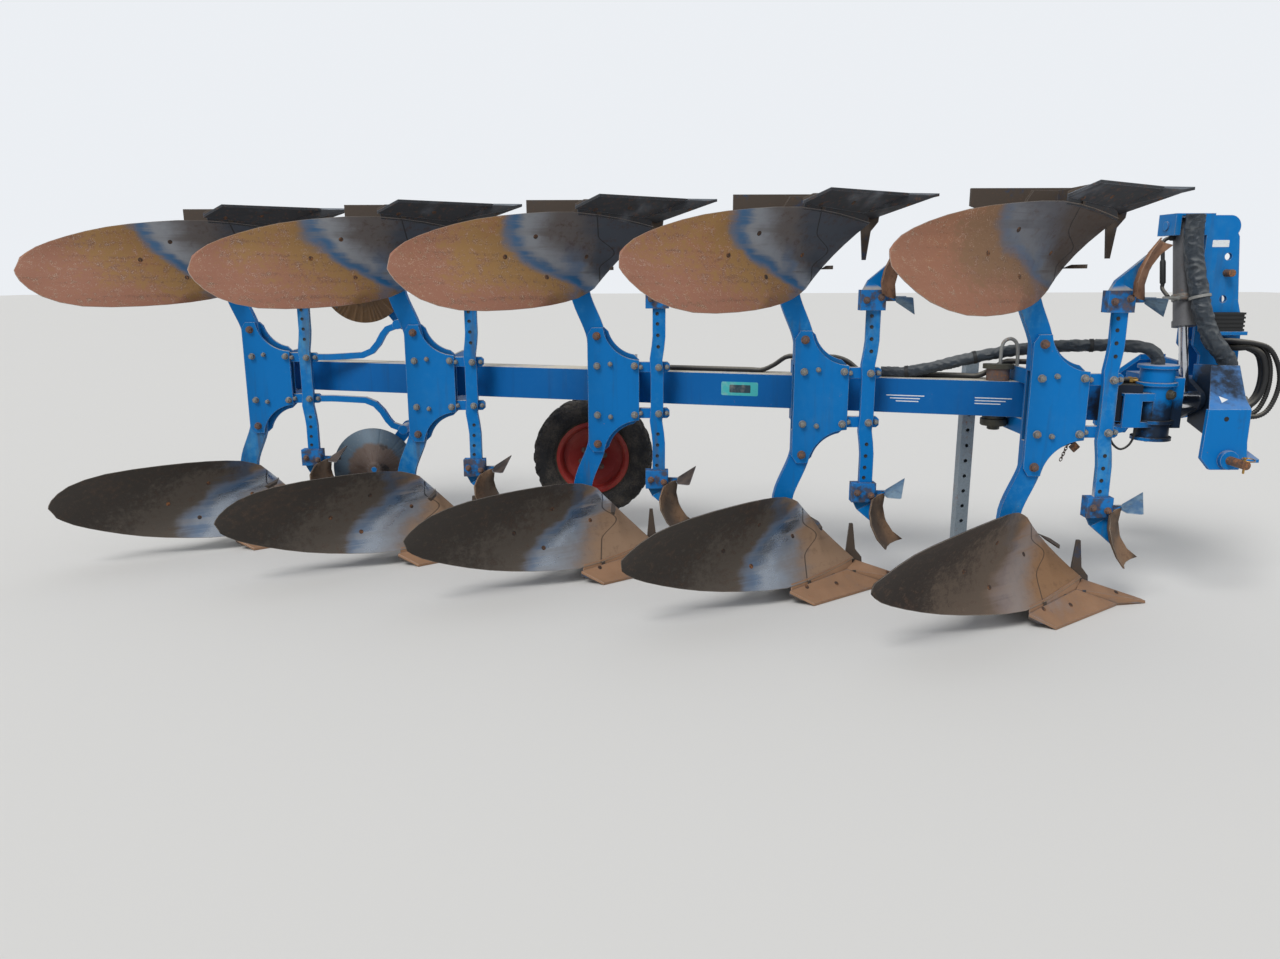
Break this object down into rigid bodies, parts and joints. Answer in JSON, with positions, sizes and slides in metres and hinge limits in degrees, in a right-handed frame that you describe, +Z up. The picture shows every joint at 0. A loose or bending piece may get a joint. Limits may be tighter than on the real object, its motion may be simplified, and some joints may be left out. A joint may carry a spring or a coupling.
{
  "type": "mounted reversible moldboard plough",
  "caption": "Tractor-mounted reversible moldboard plough with mirrored bodies on a slanted beam, turnover headstock, depth wheel, skimmers, disc coulters and a parking stand.",
  "frame": {"origin": "middle of the bounding box in x and y, on the ground that the shares stand on", "axes": "+X along the line of travel, towards the tractor; +Y to the left; +Z up"},
  "size_m": [5.7768, 2.2268, 1.8],
  "materials": {
    "frame_blue": "worn gloss",
    "beam_blue": "worn gloss",
    "board_steel": "rusted and scoured",
    "share_steel": "rusted and scoured",
    "frog_iron": "cast, dirty",
    "chrome": "polished",
    "cylinder_grey": "satin",
    "bright_steel": "zinc plated",
    "disc_steel": "rusted",
    "rim_red": "faded",
    "tyre_black": "dusty rubber",
    "hose_rubber": "matt, dusty",
    "sleeve_fabric": "woven, dusty"
  },
  "bodies": {
    "headstock": {"headstock": "frame_blue", "tower": "frame_blue", "link_pins": "bright_steel", "hose_sleeve": "sleeve_fabric", "head_hoses": "hose_rubber", "hose_block": "hose_rubber"},
    "frame": {"main_beam": "beam_blue", "swivel_head": "frame_blue", "turnover_yoke": "frame_blue", "wheel_bracket": "frame_blue", "stand_holder": "frame_blue", "coulter_arms": "frame_blue", "leg_bracket_1": "frame_blue", "leg_bracket_2": "frame_blue", "leg_bracket_3": "frame_blue", "leg_bracket_4": "frame_blue", "leg_bracket_5": "frame_blue", "leg_bars_1": "frame_blue", "leg_bars_2": "frame_blue", "leg_bars_3": "frame_blue", "leg_bars_4": "frame_blue", "leg_bars_5": "frame_blue", "frogs_1": "frog_iron", "frogs_2": "frog_iron", "frogs_3": "frog_iron", "frogs_4": "frog_iron", "frogs_5": "frog_iron", "moldboards_1": "board_steel", "moldboards_2": "board_steel", "moldboards_3": "board_steel", "moldboards_4": "board_steel", "moldboards_5": "board_steel", "shares_1": "share_steel", "shares_2": "share_steel", "shares_3": "share_steel", "shares_4": "share_steel", "shares_5": "share_steel", "skimmers_1": "frame_blue", "skimmers_2": "frame_blue", "skimmers_3": "frame_blue", "skimmers_4": "frame_blue", "skimmers_5": "frame_blue", "skimmer_boards_1": "board_steel", "skimmer_boards_2": "board_steel", "skimmer_boards_3": "board_steel", "skimmer_boards_4": "board_steel", "skimmer_boards_5": "board_steel", "beam_hoses": "hose_rubber"},
    "barrel": {"cylinder_barrel": "cylinder_grey"},
    "rod": {"cylinder_rod": "chrome"},
    "wheel_arm": {"wheel_arm": "frame_blue"},
    "wheel": {"wheel_rim": "rim_red", "wheel_tyre": "tyre_black"},
    "stand": {"parking_stand": "bright_steel"},
    "disc_lower": {"coulter_disc_lower": "disc_steel"},
    "disc_upper": {"coulter_disc_upper": "disc_steel"}
  },
  "joints": [
    {"name": "turnover", "type": "hinge", "parent": "headstock", "child": "frame", "pos_m": [2.50241, -0.06773, 0.9], "axis": [1, 0, 0], "range_deg": [-180, 0]},
    {"name": "barrel_swing", "type": "hinge", "parent": "headstock", "child": "barrel", "pos_m": [2.50241, -0.06773, 1.66], "axis": [1, 0, 0], "range_deg": [0, 23.78]},
    {"name": "rod_slide", "type": "slide", "parent": "barrel", "child": "rod", "axis": [0, -0.206, -0.9785], "range_m": [-0.1767, 0]},
    {"name": "wheel_arm_swing", "type": "hinge", "parent": "frame", "child": "wheel_arm", "pos_m": [-0.0682, 0.69402, 0.9], "axis": [0, 1, 0], "range_deg": [0, 145.83]},
    {"name": "wheel_spin", "type": "hinge", "parent": "wheel_arm", "child": "wheel", "pos_m": [-0.2102, 0.85702, 0.438], "axis": [0, 1, 0], "continuous": true},
    {"name": "stand_slide", "type": "slide", "parent": "frame", "child": "stand", "axis": [0, 0, 1], "range_m": [0, 0.35]},
    {"name": "disc_lower_spin", "type": "hinge", "parent": "frame", "child": "disc_lower", "pos_m": [-1.45781, 0.81776, 0.37], "axis": [0, 1, 0], "continuous": true},
    {"name": "disc_upper_spin", "type": "hinge", "parent": "frame", "child": "disc_upper", "pos_m": [-1.45781, 0.81776, 1.43], "axis": [0, 1, 0], "continuous": true}
  ],
  "couplings": [
    {"joint": "barrel_swing", "follows": "turnover", "ratio": -0.1321}
  ]
}
